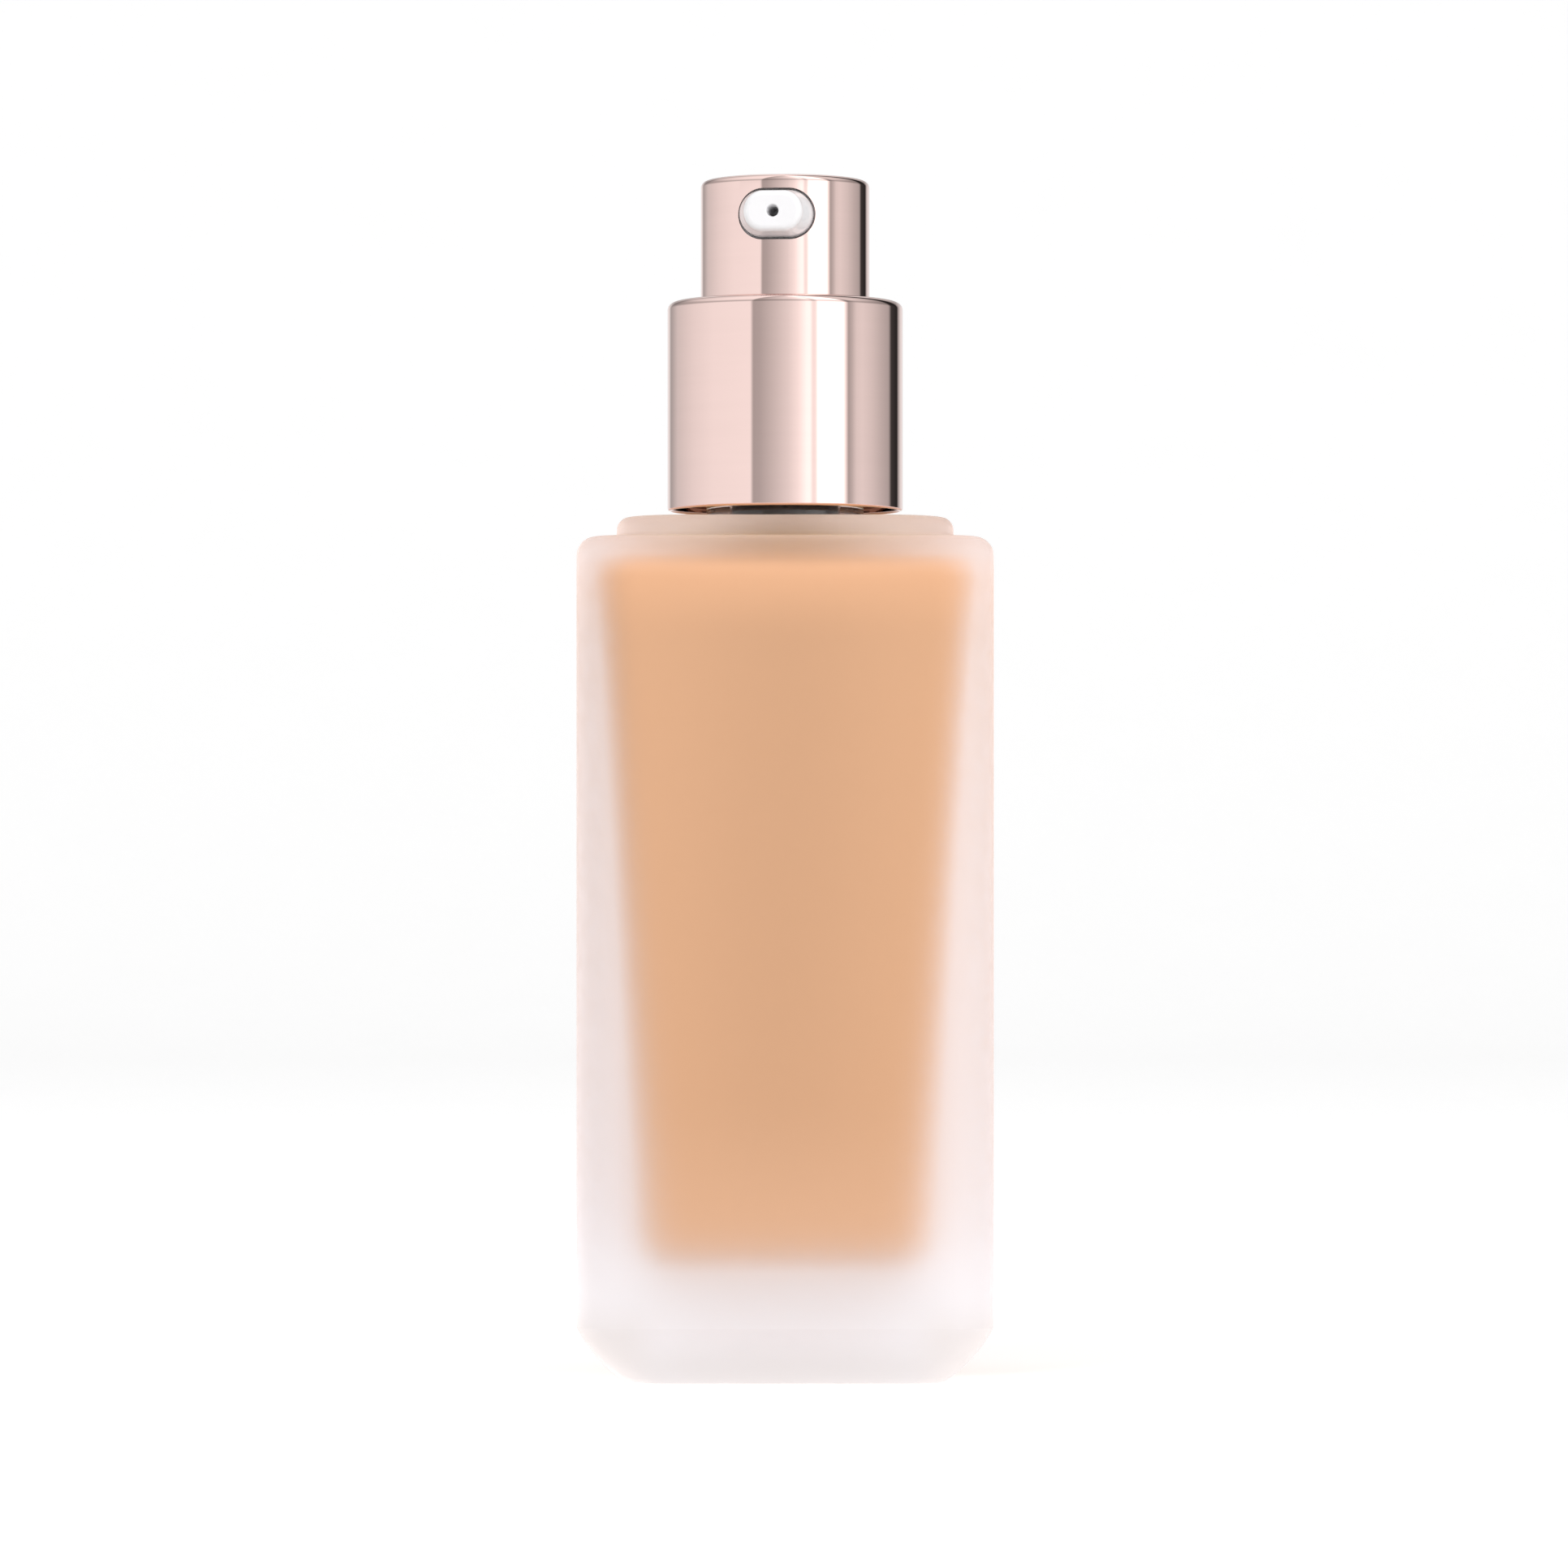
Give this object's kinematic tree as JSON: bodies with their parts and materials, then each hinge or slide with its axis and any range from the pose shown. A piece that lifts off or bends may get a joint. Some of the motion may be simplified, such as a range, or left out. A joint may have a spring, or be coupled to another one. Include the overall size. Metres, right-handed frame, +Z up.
{
  "type": "foundation bottle",
  "caption": "Square frosted glass bottle of liquid foundation with a bevelled heel and a screw-on pump: metal collar, metal push button and a small white nozzle.",
  "frame": {"origin": "centre of the face that the bottle stands on", "axes": "+Z up along the bottle and pump axis, -Y towards the front, where the nozzle looks, +X to the right seen from the front"},
  "size_m": [0.036, 0.036, 0.1052],
  "materials": {
    "frosted_glass": "acid-frosted outside, smooth inside, heavy wall",
    "foundation": "opaque beige liquid that fills the cavity",
    "foam_gasket": "white foamed liner",
    "natural_plastic": "natural, slightly milky moulded plastic",
    "dark_plastic": "dark grey moulded plastic",
    "white_plastic": "white moulded plastic",
    "gloss_white": "glossy white moulded plastic",
    "seal_rubber": "grey elastomer",
    "steel": "bright stainless",
    "rose_gold": "polished and anodised pale rose gold, mirror bright"
  },
  "bodies": {
    "bottle": {"glass_bottle": "frosted_glass", "foundation_fill": "foundation"},
    "pump_body": {"pump_housing": "dark_plastic", "turret_cap": "white_plastic", "stem_seal": "seal_rubber", "neck_gasket": "foam_gasket", "dip_tube": "natural_plastic", "ball_cage": "white_plastic", "return_spring": "steel"},
    "closure": {"screw_closure": "white_plastic", "collar_liner": "white_plastic", "collar_shell": "rose_gold"},
    "stem": {"pump_stem": "white_plastic", "piston_rod": "white_plastic"},
    "piston_body": {"piston": "natural_plastic"},
    "actuator": {"button_core": "white_plastic", "button_shell": "rose_gold", "nozzle": "gloss_white"},
    "valve_ball": {"inlet_ball": "steel"}
  },
  "joints": [
    {"name": "pump_lift", "type": "slide", "parent": "bottle", "child": "pump_body", "axis": [0, 0, 1], "range_m": [0, 0.0045]},
    {"name": "closure_turn", "type": "hinge", "parent": "pump_body", "child": "closure", "pos_m": [0, 0, 0.082], "axis": [0, 0, 1], "range_deg": [0, 540]},
    {"name": "actuator_press", "type": "slide", "parent": "pump_body", "child": "stem", "axis": [0, 0, -1], "range_m": [0, 0.0042], "stiffness_N_per_m": 2500, "deforming": ["return_spring"]},
    {"name": "actuator_turn", "type": "hinge", "parent": "stem", "child": "actuator", "pos_m": [0, 0, 0.096], "axis": [0, 0, 1], "continuous": true},
    {"name": "piston_slip", "type": "slide", "parent": "stem", "child": "piston_body", "axis": [0, 0, 1], "range_m": [0, 0.0006]},
    {"name": "inlet_ball_lift", "type": "slide", "parent": "pump_body", "child": "valve_ball", "axis": [0, 0, 1], "range_m": [0, 0.0008]}
  ],
  "couplings": [
    {"joint": "pump_lift", "follows": "closure_turn", "m_per_rad": 0.00047746},
    {"joint": "piston_slip", "follows": "actuator_press", "ratio": 0.1428}
  ]
}
